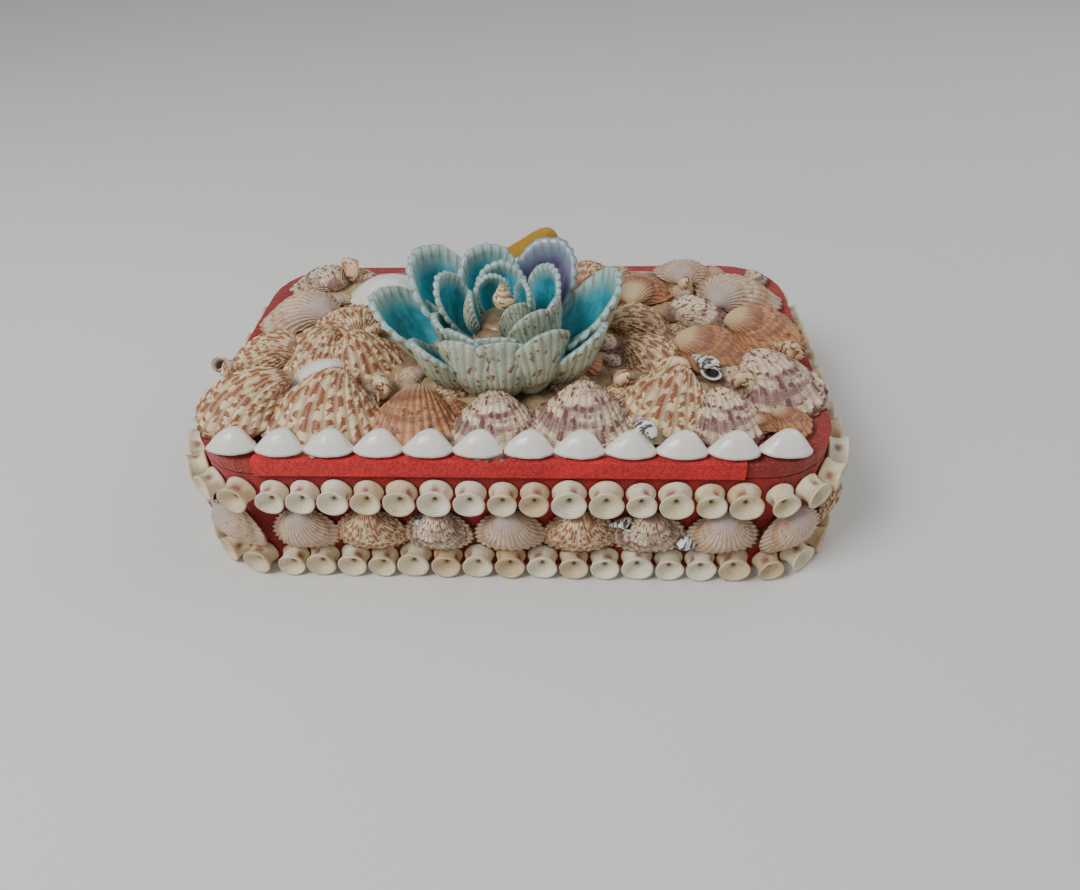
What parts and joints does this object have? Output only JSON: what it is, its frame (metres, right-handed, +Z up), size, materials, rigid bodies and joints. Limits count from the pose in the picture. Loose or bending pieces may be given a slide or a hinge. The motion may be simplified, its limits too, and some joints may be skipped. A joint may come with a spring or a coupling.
{
  "type": "shell box",
  "caption": "Souvenir box covered with glued sea shells and fish vertebrae, red velvet under them, with a cloth-hinged lid that carries a teal shell flower and a ribbon pull.",
  "frame": {"origin": "centre of the box's flat underside, on the surface that it stands on", "axes": "+X along the length, +Y from the hinged side to the side with the pull ribbon, +Z up"},
  "size_m": [0.1834, 0.1154, 0.0696],
  "materials": {
    "velvet": "velvet",
    "hinge_cloth": "velvet",
    "ribbon": "woven",
    "vertebra": "satin",
    "cockle": "ribbed",
    "white_shell": "glossy",
    "snail_shell": "satin",
    "teal_petal": "dyed",
    "brown_shell": "ribbed",
    "cream_shell": "ribbed"
  },
  "bodies": {
    "box": {"box_tray": "velvet", "vertebrae_lower_front": "vertebra", "vertebrae_upper_front": "vertebra", "cockle_band_front": "cockle", "vertebrae_lower_right": "vertebra", "vertebrae_upper_right": "vertebra", "cockle_band_right": "cockle", "vertebrae_lower_back": "vertebra", "vertebrae_upper_back": "vertebra", "cockle_band_back": "cockle", "vertebrae_lower_left": "vertebra", "vertebrae_upper_left": "vertebra", "cockle_band_left": "cockle"},
    "lid": {"lid_board": "velvet", "hinge_cloth": "hinge_cloth", "pull_ribbon": "ribbon", "wedge_shell_row": "white_shell", "flower_outer_petals": "teal_petal", "flower_middle_petals": "teal_petal", "flower_inner_petals": "teal_petal", "flower_centre_snail": "snail_shell", "lid_snail_round_open": "snail_shell", "lid_snail_spotted_cone": "snail_shell", "lid_snail_dark_turret": "snail_shell", "lid_snail_orange_cream": "snail_shell", "lid_snail_small_orange": "snail_shell", "lid_snail_olive_cream": "snail_shell", "lid_snail_black_dotted": "snail_shell", "lid_snail_open_barrel": "snail_shell", "lid_snail_white_ribbed": "snail_shell", "lid_snail_cream_lying": "snail_shell", "lid_snail_small_grey": "snail_shell", "lid_shell_front_spotted_cream": "cream_shell", "lid_shell_front_ribbed_cream": "cream_shell", "lid_shell_front_orange_brown": "brown_shell", "lid_shell_front_banded_white": "cream_shell", "lid_shell_front_purple_brown": "brown_shell", "lid_shell_front_spotted_tall": "cream_shell", "lid_shell_front_small_banded": "cream_shell", "lid_shell_front_purple_banded": "cream_shell", "lid_shell_left_spotted": "cream_shell", "lid_shell_left_cream": "cream_shell", "lid_shell_left_smooth_clam": "cream_shell", "lid_shell_left_spotted_blue": "cream_shell", "lid_shell_left_beaded": "cream_shell", "lid_shell_left_yellow_cream": "cream_shell", "lid_shell_left_back_open": "cream_shell", "lid_shell_left_back_corner": "cream_shell", "lid_shell_right_spotted": "cream_shell", "lid_shell_right_round_brown": "brown_shell", "lid_shell_right_orange_brown": "brown_shell", "lid_shell_right_ribbed_cream": "cream_shell", "lid_shell_right_banded": "brown_shell", "lid_shell_right_orange_back": "brown_shell", "lid_shell_right_concentric": "brown_shell", "lid_shell_back_upright_brown": "brown_shell", "lid_shell_back_row_1": "cream_shell", "lid_shell_back_row_2": "cream_shell", "lid_shell_back_row_3": "cream_shell", "lid_shell_back_row_4": "cream_shell"}
  },
  "joints": [
    {"name": "lid_hinge", "type": "hinge", "parent": "box", "child": "lid", "pos_m": [0, -0.0529, 0.0345], "axis": [1, 0, 0], "range_deg": [0, 95]}
  ]
}
